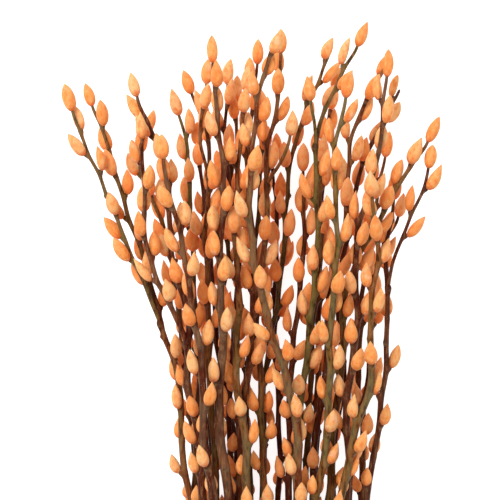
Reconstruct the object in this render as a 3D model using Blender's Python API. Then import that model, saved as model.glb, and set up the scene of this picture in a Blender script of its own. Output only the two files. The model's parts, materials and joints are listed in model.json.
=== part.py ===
"""A tied bunch of willow stems with orange catkins, laid on a flat surface.

Metres, +Z up. The origin is the middle of the band's flat underside, on which the tied end rests.
The stems run along +Y from their cut ends to their tips, X is across the bunch and Z is its depth.

Each stem is one closed solid. A five-sided tube is extruded ring by ring along the stem's line, and each
side twig and catkin is extruded out of one of the tube's own faces, so it is part of the wood it grew from.
The lines come from the table of stems, bent clear of each other as the stems of a real bunch are.
"""

import math
import random

import bmesh
import bpy
import numpy as np
from mathutils import Vector

MM = 0.001

# The bunch along +Y, in millimetres from the band
CUT_END_Y = -75
CUT_END_SCATTER = 7
CUT_SLANT = 2.4
STRAIGHT_TO_Y = 25
LEVELS_Y = (316, 397, 479, 560)
TOP_Y = 640

# The stems, left to right across the bunch, and after them five shorter ones that lie low in it. For each,
# the offset from the bunch's middle at each of the four levels (None where the stem has ended), the wood's
# end (x, y), and the depth from 0, on the surface, to 1, uppermost
STEMS = (
    ((-56, -66, -89, -115), (-119, 573), 0.45),
    ((-47, -55, -66, -81), (-92, 578), 0.70),
    ((-53, -50, -55, -61), (-64, 568), 0.25),
    ((-40, -47, -59, None), (-72, 537), 0.95),
    ((-38, -43, -45, -47), (-57, 581), 0.50),
    ((-43, -41, -31, -26), (-25, 579), 0.02),
    ((-34, -36, -34, -36), (-40, 598), 0.90),
    ((-29, -29, -25, -32), (-31, 589), 0.15),
    ((-23, -19, -8, -2), (5, 607), 0.55),
    ((-18, -24, -25, -22), (-18, 581), 0.75),
    ((-11, -6, 6, 16), (37, 610), 0.20),
    ((-8, -11, -15, -15), (-12, 601), 0.35),
    ((-1, 2, 0, -4), (-5, 570), 0.05),
    ((10, 14, 20, None), (22, 531), 0.30),
    ((16, 8, -16, -12), (-2, 609), 1.00),
    ((14, 19, 28, 29), (55, 611), 0.60),
    ((24, 31, 42, 55), (71, 598), 0.40),
    ((27, 36, 38, 42), (45, 576), 0.90),
    ((29, 29, 31, 36), (40, 586), 0.04),
    ((34, 42, 57, None), (101, 549), 0.62),
    ((40, 47, 47, 70), (82, 585), 0.10),
    ((42, 60, 64, None), (62, 513), 0.98),
    ((46, 50, 54, 68), (74, 590), 0.80),
    ((57, 62, 70, None), (84, 501), 0.22),
    ((61, 73, 75, None), (78, 512), 0.50),
    ((-50, -58, -70, -84), (-86, 556), 0.12),
    ((-26, -34, -44, None), (-51, 549), 0.14),
    ((-14, -16, -12, None), (-10, 558), 0.28),
    ((20, 24, 27, None), (31, 552), 0.32),
    ((50, 54, 62, None), (75, 541), 0.13),
)

# The side twigs: the stem's place in the table, where the twig forks off it (y), points on its way (x, y),
# its wood's end (x, y) and its depth
TWIGS = (
    (0, 430, ((-95, 479), (-126, 555)), (-132, 569), 0.62),
    (1, 417, ((-82, 479), (-86, 520)), (-85, 550), 0.88),
    (4, 527, ((-49, 550),), (-45, 586), 0.72),
    (8, 520, ((6, 540),), (11, 553), 0.72),
    (15, 545, ((25, 562),), (22, 575), 0.78),
    (24, 453, ((79, 479), (89, 505)), (99, 532), 0.62),
)

# Tips that end in a dry stub of wood, where the others end in a catkin
STUB_ENDED = ("stem_11", "stem_15", "stem_17", "stem_21")
STUB_LENGTH = 7

# Wood
CUT_RADIUS = (2.8, 3.7)
TIP_RADIUS = 1.0
TAPER = 0.62
TWIG_SHARE = 0.8
STEM_SIDES = 5
RING_STEP = 55
NODE_HALF = 1.5
NODE_BULGE = 0.8
FORK_HALF = 2.6
FORK_RISE = 10  # how far above its root the twig's first ring is
FORK_REACH = 20  # how far above its root it grows as a stem does
FORK_SLOPE = 0.33

# Depth of the bunch at heights along it, and the least height of a stem's middle where the catkins grow
DEPTH_AT = ((316, 46), (397, 58), (479, 74), (560, 86), (640, 90))
HEAD_FLOOR = 9.85
HEAD_FROM_Y = 250

# How near the stems lie to each other, edge to edge: tight in the band, wide where catkins grow
SPACING_AT = ((40, 0.22), (120, 2.6), (316, 7.6), (479, 8.4), (640, 8.4))
STATION_STEP = 12.5
STATIONS = np.arange(-90, 660, STATION_STEP)
STARTS_TO_SPREAD_Y = 85
WAVE_SIZE = (0.5, 1.6)
WAVE_LENGTH = (75, 170)
WAVES_GROW_OVER = 110
PACK_STEPS = 900
PACK_PULL = 0.02
PACK_WIDTH = 0.2  # the stems' first places in the band, as a share of their offsets
PACK_HEIGHT = 26
LOWEST_ROW = 0.11  # stems of less depth than this lie side by side on the band's flat underside
BEND_STEPS = 320
ACROSS_YIELD = 0.45  # a stem gives way less across the bunch than in depth
SMOOTHING = 0.42
HOLD = 0.012

# Catkins stand alternately, each two fifths of a turn on from the last
NODE_STEP = (13.8, 17.4)
NODE_STEP_LOW = 1.4  # how many times as far apart they are at the lowest level
LOWEST_CATKIN_Y = (185, 235)
BARE_CHANCE = 0.04
SOURCE_EVERY = 2  # these solids carry every second catkin, at its true size
CATKIN_LENGTH_AT = ((316, 13.6), (440, 16.6), (600, 16.8))
CATKIN_LENGTH_SPREAD = 1.7
CATKIN_RADIUS = (3.9, 4.8)
CATKIN_WIDTH_AT = ((316, 0.91), (420, 1.0), (510, 1.0), (600, 0.88))  # shares of that along the bunch
CATKIN_INNER = 0.72  # the side that lies against the stem is flattened to this share of the radius
BELLY_AT = 0.4
SNUG_ROOM = 2.25  # how much of the inner side clears the wood without a lean
CATKIN_LEAN = (2, 13)  # degrees beyond the lean at which the belly clears the wood
CATKIN_OUTLINE = ((0.06, 0.66), (0.2, 0.94), (0.38, 1.0), (0.56, 0.91), (0.74, 0.67), (0.9, 0.33))
KNOB_OUT = 1.6
KNOB_UP = 1.8
KNOB_RADIUS = 1.4
CLEARANCE = 0.45

# The rubber band that holds the bunch: three turns side by side
BAND_TURNS = 3
BAND_STRAND = 3.4
BAND_GROOVE = 0.7
BAND_GROOVE_DEPTH = 0.6
BAND_THICKNESS = 1.6
BAND_GAP = 0.3
BAND_FLOOR = BAND_GAP + BAND_THICKNESS
BAND_CORNERS = 60

# Linear colours
BARK_COLOURS = ((0.062, 0.024, 0.022), (0.105, 0.052, 0.035), (0.115, 0.112, 0.045))
CATKIN_COLOUR = (0.78, 0.24, 0.06)
RUBBER_COLOUR = (0.55, 0.36, 0.19)


class Shoot:
    """A stem, or a twig on one, in millimetres. Its line is a row of (x, z) at the stations along y."""

    def __init__(self, name, end, depth, start_y, parent=None):
        self.name = name
        self.end_x, self.end_y = end
        self.depth = depth
        self.start_y = start_y
        self.parent = parent
        self.twig = None
        self.line = None
        self.nodes = []
        self.end_catkin = None
        self.stub_ended = name in STUB_ENDED

    def draw_waves(self, draw):
        """The waves of its growth, two across the bunch and two in depth: size, length and phase."""
        sizes = [(draw.uniform(*WAVE_SIZE), draw.uniform(*WAVE_LENGTH)) for _ in range(4)]
        self.waves = [(size, length, draw.uniform(0, math.tau)) for size, length in sizes]

    def waver(self):
        """How far its waves take it off its line at the stations, from nothing where they start."""
        start = self.start_y if self.parent else STARTS_TO_SPREAD_Y
        grown = np.clip((STATIONS - start) / WAVES_GROW_OVER, 0, 1)
        rows = [size * grown * np.sin(math.tau * STATIONS / length + phase) for size, length, phase in self.waves]
        return np.stack([rows[0] + rows[1], rows[2] + rows[3]], 1)

    def radius(self, y):
        share = min(1.0, max(0.0, (self.end_y - y) / (self.end_y - self.start_y)))
        return TIP_RADIUS + (self.start_radius - TIP_RADIUS) * share**TAPER

    def centre(self, y):
        """The line's point at height y, on a smooth curve through the stations."""
        place = (y - STATIONS[0]) / STATION_STEP
        i = min(max(int(place), 1), len(STATIONS) - 3)
        t = place - i
        before, here, after, beyond = self.line[i - 1 : i + 3]
        bend = (2 * before - 5 * here + 4 * after - beyond) * t * t
        bend += (3 * here - before - 3 * after + beyond) * t**3
        across, depth = here + 0.5 * ((after - before) * t + bend)
        return Vector((across, y, depth))

    def along(self, y):
        return (self.centre(y + 1) - self.centre(y - 1)).normalized()

    def axis(self, y):
        """The wood's own middle, which swings out a little towards the catkin at each node."""
        for above, below in zip(self.nodes, self.nodes[1:]):
            if below.y <= y <= above.y:
                share = (y - below.y) / (above.y - below.y)
                return self.centre(y) + NODE_BULGE * (above.out * share + below.out * (1 - share))
        if self.nodes and y < self.nodes[-1].y:
            share = max(0.0, 1 - (self.nodes[-1].y - y) / NODE_STEP[1])
            return self.centre(y) + NODE_BULGE * share * self.nodes[-1].out
        return self.centre(y)

    def frame(self, y):
        """Two directions across the line, square to it and to each other."""
        along = self.along(y)
        across = Vector((1, 0, 0)) - along.x * along
        across.normalize()
        return across, along.cross(across)

    def side(self, y, number):
        """The outward direction of one of the tube's five sides. A whole number and a half is a corner."""
        across, upright = self.frame(y)
        angle = self.turn + number * math.tau / STEM_SIDES
        return math.cos(angle) * across + math.sin(angle) * upright

    def turn_side_to(self, direction, y, number):
        """Turns the tube so that its side `number` faces the direction at y."""
        across, upright = self.frame(y)
        angle = math.atan2(direction.dot(upright), direction.dot(across))
        self.turn = angle - number * math.tau / STEM_SIDES


class Node:
    """A place on a shoot where a catkin or a twig grows, or a bare scar where a bud has dropped."""

    def __init__(self, shoot, y, side, twig=None):
        self.y = y
        self.side = side % STEM_SIDES
        self.out = shoot.side(y, side)
        self.twig = twig
        self.catkin = None
        self.in_source = False


class Catkin:
    def __init__(self, base, along, seed):
        draw = random.Random(seed)
        self.base = base
        self.towards = along
        self.length = float(through(CATKIN_LENGTH_AT, base.y))
        self.length += draw.uniform(-CATKIN_LENGTH_SPREAD, CATKIN_LENGTH_SPREAD)
        self.radius = draw.uniform(*CATKIN_RADIUS) * float(through(CATKIN_WIDTH_AT, base.y))

    def lean_out(self, out, degrees):
        """Leans it out of the stem until its belly clears the wood, and some degrees more."""
        snug = max(0.0, CATKIN_INNER * self.radius - SNUG_ROOM) / (BELLY_AT * self.length)
        lean = math.asin(snug) + math.radians(degrees)
        self.towards = self.towards * math.cos(lean) + out * math.sin(lean)

    def at(self, share):
        return self.base + self.towards * self.length * share

    def balls(self):
        """Balls that fill its outline, as rows of x, y, z and radius."""
        return np.array([(*self.at(place), self.radius * width) for place, width in CATKIN_OUTLINE])


def through(knots, at):
    """Values at the places `at` of a smooth curve through knots (place, value), level past both ends."""
    places, values = np.array(sorted(knots), float).T
    slopes = np.gradient(values, places)
    at = np.clip(at, places[0], places[-1])
    i = np.clip(np.searchsorted(places, at, side="right") - 1, 0, len(places) - 2)
    span = places[i + 1] - places[i]
    t = (at - places[i]) / span
    curve = (1 + 2 * t) * (1 - t) ** 2 * values[i] + t * t * (3 - 2 * t) * values[i + 1]
    return curve + span * (t * (1 - t) ** 2 * slopes[i] + t * t * (t - 1) * slopes[i + 1])


def height_of(depth, y):
    return HEAD_FLOOR + depth * float(through(DEPTH_AT, y))


def make_shoots(draw):
    stems = []
    for number, (offsets, end, depth) in enumerate(STEMS, 1):
        stem = Shoot(f"stem_{number:02d}", end, depth, CUT_END_Y - draw.uniform(0, CUT_END_SCATTER))
        stem.offsets = offsets
        stem.start_radius = draw.uniform(*CUT_RADIUS)
        stem.turn = draw.uniform(0, math.tau)
        stem.draw_waves(draw)
        stems.append(stem)
    twigs = []
    for place, fork_y, way, end, depth in TWIGS:
        stem = stems[place]
        stem.twig = Shoot(stem.name + "_twig", end, depth, fork_y, stem)
        stem.twig.way = way
        stem.twig.start_radius = TWIG_SHARE * stem.radius(fork_y)
        stem.twig.draw_waves(draw)
        twigs.append(stem.twig)
    return stems, twigs


def pushes(points, reach):
    """How far each of the points (shoot, station, axis) is pushed by all those nearer than `reach`."""
    between = points[:, None] - points[None]
    distance = np.sqrt((between**2).sum(-1)) + 1e-6
    push = np.clip(reach - distance, 0, None) * 0.5 / distance
    return (push[..., None] * between).sum(1)


def pack_in_band(stems):
    """Where each stem passes through the band: (x, z), drawn together and pushed apart until they clear."""
    radii = np.array([s.start_radius for s in stems])
    reach = (radii[:, None] + radii + SPACING_AT[0][1]) * (1 - np.eye(len(stems)))
    floor = radii + BAND_FLOOR
    lowest = np.array([s.depth < LOWEST_ROW for s in stems])
    places = np.array([(PACK_WIDTH * s.offsets[0], f + PACK_HEIGHT * s.depth) for s, f in zip(stems, floor)])
    for step in range(PACK_STEPS):
        if step < PACK_STEPS * 2 / 3:
            places += PACK_PULL * (places.mean(0) - places)
        places += pushes(places[:, None], reach[..., None])[:, 0]
        places[:, 1] = np.where(lowest, floor, np.maximum(places[:, 1], floor))
    places[:, 0] -= places[lowest, 0].mean()
    return places


def draw_lines(stems, twigs):
    """Each shoot's line as the tables give it."""
    for stem, (band_x, band_z) in zip(stems, pack_in_band(stems)):
        straight = (STATIONS[0], 0, STRAIGHT_TO_Y, STRAIGHT_TO_Y + STATION_STEP)
        ways = [(y, x) for y, x in zip(LEVELS_Y, stem.offsets) if x is not None]
        across = [(y, band_x) for y in straight] + ways + [(stem.end_y, stem.end_x)]
        depth = [(y, band_z) for y in straight] + [(y, height_of(stem.depth, y)) for y in (*LEVELS_Y, TOP_Y)]
        stem.line = np.stack([through(across, STATIONS), through(depth, STATIONS)], 1) + stem.waver()
    for twig in twigs:
        root = twig.parent.centre(twig.start_y)
        across = [(twig.start_y, root.x)] + [(y, x) for x, y in twig.way] + [(twig.end_y, twig.end_x)]
        top = height_of(twig.depth, twig.end_y)
        depth = [(twig.start_y, root.z), ((twig.start_y + twig.end_y) / 2, (root.z + top) / 2), (twig.end_y, top)]
        twig.line = np.stack([through(across, STATIONS), through(depth, STATIONS)], 1) + twig.waver()
        below = STATIONS <= twig.start_y
        twig.line[below] = twig.parent.line[below]


def bend_clear(stems, twigs):
    """Bends the lines until no shoot touches another, as stems do that lie together in a bunch."""
    group = stems + twigs
    wanted = np.stack([s.line for s in group])
    radii = np.array([[s.radius(y) for y in STATIONS] for s in group])
    there = np.array([(STATIONS > s.start_y) & (STATIONS < s.end_y + STATION_STEP) for s in group])
    reach = (radii[:, None] + radii + through(SPACING_AT, STATIONS)) * (there[:, None] & there)
    for i in range(len(group)):
        reach[i, i] = 0
    for twig in twigs:
        i, j = group.index(twig), group.index(twig.parent)
        reach[i, j] = reach[j, i] = np.clip(1 + FORK_SLOPE * (STATIONS - twig.start_y), 0, reach[i, j])
    free = np.clip((STATIONS - STRAIGHT_TO_Y) / (STARTS_TO_SPREAD_Y - STRAIGHT_TO_Y), 0, 1)[None, :, None]
    floor = np.where(STATIONS > HEAD_FROM_Y, HEAD_FLOOR, 0)
    moved = np.zeros_like(wanted)
    for _ in range(BEND_STEPS):
        moved += pushes(wanted + moved, reach) * free * (ACROSS_YIELD, 1)
        padded = np.pad(moved, ((0, 0), (1, 1), (0, 0)), mode="edge")
        moved += SMOOTHING * free * ((padded[:, :-2] + padded[:, 2:]) / 2 - moved)
        moved *= 1 - HOLD
        for twig in twigs:
            below = STATIONS <= twig.start_y
            moved[group.index(twig), below] = moved[group.index(twig.parent), below]
        moved[..., 1] = np.maximum(moved[..., 1], floor - wanted[..., 1])
    for shoot, line in zip(group, wanted + moved):
        shoot.line = line


def set_forks(twigs):
    """Turns each stem's side 0 to its twig, and the twig's corner 0 away from the stem."""
    for twig in twigs:
        stem, y = twig.parent, twig.start_y + FORK_REACH
        out = twig.centre(y) - stem.centre(y)
        stem.turn_side_to(out, twig.start_y, 0)
        stem.nodes.append(Node(stem, twig.start_y, 0, twig))
        twig.turn_side_to(out, twig.start_y + FORK_RISE, -0.5)


def set_nodes(shoot, draw):
    """Nodes from the shoot's end down to its lowest one."""
    lowest = shoot.start_y + FORK_REACH if shoot.parent else draw.uniform(*LOWEST_CATKIN_Y)
    y = shoot.end_y - (STUB_LENGTH if shoot.stub_ended else draw.uniform(*NODE_STEP))
    side = draw.randrange(STEM_SIDES)
    while y > lowest:
        if not shoot.twig or abs(y - shoot.twig.start_y) > NODE_STEP[0] / 2:
            shoot.nodes.append(Node(shoot, y, side))
            side += 2
        down = min(1.0, max(0.0, (LEVELS_Y[2] - y) / (LEVELS_Y[2] - LEVELS_Y[0])))
        y -= draw.uniform(*NODE_STEP) * (1 + (NODE_STEP_LOW - 1) * down) * shoot.along(y).y
    shoot.nodes.sort(key=lambda node: -node.y)


def grow_catkins(group, draw):
    """Grows a catkin at each node, on its own side of the wood or on the nearest one that is free."""
    for shoot in group:
        set_nodes(shoot, draw)
        if not shoot.stub_ended:
            shoot.end_catkin = Catkin(shoot.centre(shoot.end_y), shoot.along(shoot.end_y - 2), draw.random())
    taken = np.vstack([s.end_catkin.balls() for s in group if s.end_catkin])
    places = [(node, shoot, k) for shoot in group for k, node in enumerate(shoot.nodes) if not node.twig]
    for node, shoot, k in sorted(places, key=lambda place: -place[0].y):
        bare = draw.random() < BARE_CHANCE
        degrees = draw.uniform(*CATKIN_LEAN)
        seed = draw.random()
        for turn in () if bare else (0, 1, -1, 2, -2):
            out, along = shoot.side(node.y, node.side + turn), shoot.along(node.y)
            root = shoot.centre(node.y) + out * (NODE_BULGE + shoot.radius(node.y))
            base = root + out * KNOB_OUT + along * KNOB_UP
            catkin = Catkin(base, along, seed)
            catkin.lean_out(out, degrees)
            if fits(catkin, shoot, group, taken):
                node.catkin, node.out, node.side = catkin, out, (node.side + turn) % STEM_SIDES
                node.in_source = k % SOURCE_EVERY == 1 or (shoot.stub_ended and k == 0)
                taken = np.vstack([taken, catkin.balls(), (*base, KNOB_RADIUS)])
                break


def fits(catkin, shoot, group, taken):
    """True where it clears the surface, every other shoot's wood and every catkin that is there already."""
    balls = catkin.balls()
    if (balls[:, 2] - balls[:, 3]).min() < 0:
        return False
    near = taken[np.abs(taken[:, 1] - catkin.base.y) < 2 * catkin.length]
    distance = np.sqrt(((balls[:, None, :3] - near[None, :, :3]) ** 2).sum(-1))
    if (distance < balls[:, None, 3] + near[None, :, 3] + CLEARANCE).any():
        return False
    for other in group:
        if other is shoot:
            continue
        for x, y, z, radius in balls:
            if other.start_y - 2 < y < other.end_y + 2:
                offset, along = Vector((x, y, z)) - other.centre(y), other.along(y)
                clear = (offset - offset.dot(along) * along).length
                if clear < radius + other.radius(y) + NODE_BULGE + CLEARANCE:
                    return False
    return True


def extrude(bm, face, corners, first=0):
    """Extrudes a face to new corners. `first` is the place, among the face's own, of the first of them."""
    grown = bmesh.ops.extrude_discrete_faces(bm, faces=[face])["faces"][0]
    for k, corner in enumerate(corners):
        grown.verts[(first + k) % len(corners)].co = corner * MM
    return grown


def ring(shoot, y):
    """The corners of the tube's ring at y. Side k lies between corners k and k + 1."""
    return [shoot.axis(y) + shoot.radius(y) * shoot.side(y, k - 0.5) for k in range(STEM_SIDES)]


def cut_end(shoot):
    """The ring at the stem's lower end, cut a little aslant."""
    corners = ring(shoot, shoot.start_y)
    along = shoot.along(shoot.start_y)
    return [c + along * CUT_SLANT * math.sin(k * math.tau / STEM_SIDES) / 2 for k, c in enumerate(corners)]


def ring_places(shoot):
    """Where the tube has rings, each with the node whose catkin or twig grows from just below it, if any."""
    places = [] if shoot.parent else [(STRAIGHT_TO_Y, None)]
    if shoot.parent:
        places.append((shoot.start_y + FORK_RISE, None))
    for node in reversed(shoot.nodes):
        if node.in_source or node.twig:
            half = (FORK_HALF if node.twig else NODE_HALF) * shoot.along(node.y).y
            places += [(node.y - half, None), (node.y + half, node)]
    places.append((shoot.end_y, None))
    filled = places[:1]
    for (below, _), (y, node) in zip(places, places[1:]):
        steps = math.ceil((y - below) / RING_STEP)
        filled += [(below + (y - below) * k / steps, None) for k in range(1, steps)] + [(y, node)]
    return filled


def grow_wood(bm, face, first, shoot):
    """Extrudes the tube ring by ring from a face, with what grows from each of its nodes."""
    for y, node in ring_places(shoot):
        below = face.verts[:]
        face = extrude(bm, face, ring(shoot, y), first)
        if node:
            pair = ((first + node.side) % STEM_SIDES, (first + node.side + 1) % STEM_SIDES)
            corners = {v for k in pair for v in (below[k], face.verts[k])}
            wall = next(f for f in below[pair[0]].link_faces if corners == set(f.verts))
            if node.twig:
                fork(bm, wall, node)
            else:
                raise_catkin(bm, wall, node, shoot)
    if shoot.end_catkin:
        end_in_catkin(bm, face, first, shoot)


def fork(bm, wall, node):
    """Grows a twig from a wall of the stem, whose lower edge gets a fifth corner."""
    lower = min(wall.edges, key=lambda edge: edge.verts[0].co.y + edge.verts[1].co.y)
    corner = bmesh.utils.edge_split(lower, lower.verts[0], 0.5)[1]
    grow_wood(bm, wall, wall.verts[:].index(corner), node.twig)


def raise_catkin(bm, wall, node, shoot):
    """Extrudes a wall of the tube into a knob of wood and the six-sided catkin that stands on it."""
    catkin, along = node.catkin, shoot.along(node.y)
    inward = (along - along.dot(catkin.towards) * catkin.towards).normalized()
    sideways = inward.cross(catkin.towards)
    upright = sorted(wall.edges, key=lambda e: abs((e.verts[0].co - e.verts[1].co).normalized().dot(along)))[2:]
    for edge in upright:
        bmesh.utils.edge_split(edge, edge.verts[0], 0.5)
    middle = shoot.axis(node.y) * MM
    angles = [math.atan2((v.co - middle).dot(along), (v.co - middle).dot(sideways)) for v in wall.verts]
    sixths = [round(a / (math.pi / 3)) * math.pi / 3 for a in angles]
    rises = [math.sin(a) * (CATKIN_INNER if math.sin(a) > 0 else 1) for a in sixths]
    round_axis = [math.cos(a) * sideways + rise * inward for a, rise in zip(sixths, rises)]
    knob = extrude(bm, wall, [catkin.base + KNOB_RADIUS * out for out in round_axis])
    knob.material_index = 1
    close_catkin(bm, knob, catkin, round_axis)


def end_in_catkin(bm, face, first, shoot):
    """The catkin at the shoot's end, which goes on from the wood's own last ring."""
    face.material_index = 1
    round_axis = [shoot.side(shoot.end_y, k - 0.5) for k in range(STEM_SIDES)]
    close_catkin(bm, face, shoot.end_catkin, round_axis, first)


def close_catkin(bm, face, catkin, round_axis, first=0):
    """Swells a face into the catkin's belly and draws it to a point."""
    belly = extrude(bm, face, [catkin.at(BELLY_AT) + catkin.radius * out for out in round_axis], first)
    tip = bmesh.ops.poke(bm, faces=[belly])["verts"][0]
    tip.co = catkin.at(1) * MM


def build_stem(stem, materials):
    bm = bmesh.new()
    cut = [bm.verts.new(corner * MM) for corner in cut_end(stem)]
    grow_wood(bm, bm.faces.new(cut), 0, stem)
    bm.faces.new(reversed(cut))
    add_object(stem.name, bm, materials)


def outline(stems, out):
    """The loop (x, z) that runs round all the stems in the band, at a distance from them."""
    loop = []
    for k in range(BAND_CORNERS):
        angle = k * math.tau / BAND_CORNERS
        across, up = math.cos(angle), math.sin(angle)
        reaches = [s.line[0] @ (across, up) + s.start_radius for s in stems]
        stem = stems[int(np.argmax(reaches))]
        loop.append(stem.line[0] + (stem.start_radius + out) * np.array((across, up)))
    return loop


def band_section():
    """The band's section (y, distance from the stems): its inner face, then the turns with a groove between."""
    width = BAND_TURNS * BAND_STRAND + (BAND_TURNS - 1) * BAND_GROOVE
    section = [(width / 2, BAND_GAP), (-width / 2, BAND_GAP)]
    for turn in range(BAND_TURNS):
        y = -width / 2 + turn * (BAND_STRAND + BAND_GROOVE)
        section += [(y, BAND_FLOOR), (y + BAND_STRAND, BAND_FLOOR)]
        if turn < BAND_TURNS - 1:
            section.append((y + BAND_STRAND + BAND_GROOVE / 2, BAND_FLOOR - BAND_GROOVE_DEPTH))
    return section


def build_band(stems, materials):
    bm = bmesh.new()
    loops = []
    for y, out in band_section():
        loops.append([bm.verts.new(Vector((x, y, z)) * MM) for x, z in outline(stems, out)])
    for loop, following in zip(loops, loops[1:] + loops[:1]):
        for k in range(BAND_CORNERS):
            bm.faces.new((loop[k], loop[k - 1], following[k - 1], following[k]))
    add_object("rubber_band", bm, materials)


def add_object(name, bm, materials):
    mesh = bpy.data.meshes.new(name)
    bm.to_mesh(mesh)
    bm.free()
    for material in materials:
        mesh.materials.append(material)
    obj = bpy.data.objects.new(name, mesh)
    obj.parent = bpy.data.objects["bunch"]
    bpy.context.scene.collection.objects.link(obj)


def material(name, colour, roughness):
    made = bpy.data.materials.new(name)
    made.use_nodes = True
    shader = made.node_tree.nodes["Principled BSDF"]
    shader.inputs["Base Color"].default_value = (*colour, 1)
    shader.inputs["Roughness"].default_value = roughness
    shader.inputs["Metallic"].default_value = 0
    return made


def grow_bunch():
    """All stems and twigs, with their lines, nodes and catkins."""
    draw = random.Random(7)
    stems, twigs = make_shoots(draw)
    draw_lines(stems, twigs)
    bend_clear(stems, twigs)
    set_forks(twigs)
    grow_catkins(stems + twigs, draw)
    return stems


def main():
    for obj in list(bpy.data.objects):
        bpy.data.objects.remove(obj)
    bpy.context.scene.collection.objects.link(bpy.data.objects.new("bunch", None))
    stems = grow_bunch()
    catkin = material("catkin", CATKIN_COLOUR, 0.75)
    for number, stem in enumerate(stems):
        bark = material(stem.name + "_bark", BARK_COLOURS[number % len(BARK_COLOURS)], 0.5)
        build_stem(stem, (bark, catkin))
    build_band(stems, (material("rubber", RUBBER_COLOUR, 0.6),))


main()
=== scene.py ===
"""The finished look of a tied bunch of willow stems with orange catkins, laid on a white floor.

The growth rules below are the ones that the solids were grown by, so every stem, node and catkin lies where
its solid does. Each stem gets round bark with knobs and scars, and all its catkins as pointed, downy buds.
"""

import json
import math
import random

import bpy
import numpy as np
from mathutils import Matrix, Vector

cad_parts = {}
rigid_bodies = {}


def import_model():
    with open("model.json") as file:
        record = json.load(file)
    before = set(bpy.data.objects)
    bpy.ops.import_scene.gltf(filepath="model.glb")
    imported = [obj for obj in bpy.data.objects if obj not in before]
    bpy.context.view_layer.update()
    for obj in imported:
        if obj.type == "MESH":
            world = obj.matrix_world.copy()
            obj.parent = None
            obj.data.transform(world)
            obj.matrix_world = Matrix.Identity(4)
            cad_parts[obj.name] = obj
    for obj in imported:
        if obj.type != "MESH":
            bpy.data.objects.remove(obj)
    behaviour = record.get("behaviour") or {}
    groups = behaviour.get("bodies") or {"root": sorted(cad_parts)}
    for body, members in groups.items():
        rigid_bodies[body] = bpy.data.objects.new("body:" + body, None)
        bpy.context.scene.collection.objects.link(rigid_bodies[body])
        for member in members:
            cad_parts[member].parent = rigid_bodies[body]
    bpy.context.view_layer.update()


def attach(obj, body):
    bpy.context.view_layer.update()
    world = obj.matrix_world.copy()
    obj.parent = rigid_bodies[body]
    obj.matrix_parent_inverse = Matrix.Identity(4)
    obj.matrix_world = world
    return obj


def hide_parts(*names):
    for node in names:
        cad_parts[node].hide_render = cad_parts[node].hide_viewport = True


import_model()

MM = 0.001

GROWTH_SEED = 7

# The bunch along +Y, in millimetres from the band
CUT_END_Y = -75
CUT_END_SCATTER = 7
CUT_SLANT = 2.4
STRAIGHT_TO_Y = 25
LEVELS_Y = (316, 397, 479, 560)
TOP_Y = 640

# The stems, left to right across the bunch, and after them five shorter ones that lie low in it. For each,
# the offset from the bunch's middle at each of the four levels (None where the stem has ended), the wood's
# end (x, y), and the depth from 0, on the surface, to 1, uppermost
STEMS = (
    ((-56, -66, -89, -115), (-119, 573), 0.45),
    ((-47, -55, -66, -81), (-92, 578), 0.70),
    ((-53, -50, -55, -61), (-64, 568), 0.25),
    ((-40, -47, -59, None), (-72, 537), 0.95),
    ((-38, -43, -45, -47), (-57, 581), 0.50),
    ((-43, -41, -31, -26), (-25, 579), 0.02),
    ((-34, -36, -34, -36), (-40, 598), 0.90),
    ((-29, -29, -25, -32), (-31, 589), 0.15),
    ((-23, -19, -8, -2), (5, 607), 0.55),
    ((-18, -24, -25, -22), (-18, 581), 0.75),
    ((-11, -6, 6, 16), (37, 610), 0.20),
    ((-8, -11, -15, -15), (-12, 601), 0.35),
    ((-1, 2, 0, -4), (-5, 570), 0.05),
    ((10, 14, 20, None), (22, 531), 0.30),
    ((16, 8, -16, -12), (-2, 609), 1.00),
    ((14, 19, 28, 29), (55, 611), 0.60),
    ((24, 31, 42, 55), (71, 598), 0.40),
    ((27, 36, 38, 42), (45, 576), 0.90),
    ((29, 29, 31, 36), (40, 586), 0.04),
    ((34, 42, 57, None), (101, 549), 0.62),
    ((40, 47, 47, 70), (82, 585), 0.10),
    ((42, 60, 64, None), (62, 513), 0.98),
    ((46, 50, 54, 68), (74, 590), 0.80),
    ((57, 62, 70, None), (84, 501), 0.22),
    ((61, 73, 75, None), (78, 512), 0.50),
    ((-50, -58, -70, -84), (-86, 556), 0.12),
    ((-26, -34, -44, None), (-51, 549), 0.14),
    ((-14, -16, -12, None), (-10, 558), 0.28),
    ((20, 24, 27, None), (31, 552), 0.32),
    ((50, 54, 62, None), (75, 541), 0.13),
)

# The side twigs: the stem's place in the table, where the twig forks off it (y), points on its way (x, y),
# its wood's end (x, y) and its depth
TWIGS = (
    (0, 430, ((-95, 479), (-126, 555)), (-132, 569), 0.62),
    (1, 417, ((-82, 479), (-86, 520)), (-85, 550), 0.88),
    (4, 527, ((-49, 550),), (-45, 586), 0.72),
    (8, 520, ((6, 540),), (11, 553), 0.72),
    (15, 545, ((25, 562),), (22, 575), 0.78),
    (24, 453, ((79, 479), (89, 505)), (99, 532), 0.62),
)

# Tips that end in a dry stub of wood, where the others end in a catkin
STUB_ENDED = ("stem_11", "stem_15", "stem_17", "stem_21")
STUB_LENGTH = 7

# Wood
CUT_RADIUS = (2.8, 3.7)
TIP_RADIUS = 1.0
TAPER = 0.62
TWIG_SHARE = 0.8
STEM_SIDES = 5
NODE_BULGE = 0.8
FORK_RISE = 10
FORK_REACH = 20
FORK_SLOPE = 0.33

# Depth of the bunch at heights along it, and the least height of a stem's middle where the catkins grow
DEPTH_AT = ((316, 46), (397, 58), (479, 74), (560, 86), (640, 90))
HEAD_FLOOR = 9.85
HEAD_FROM_Y = 250

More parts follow.
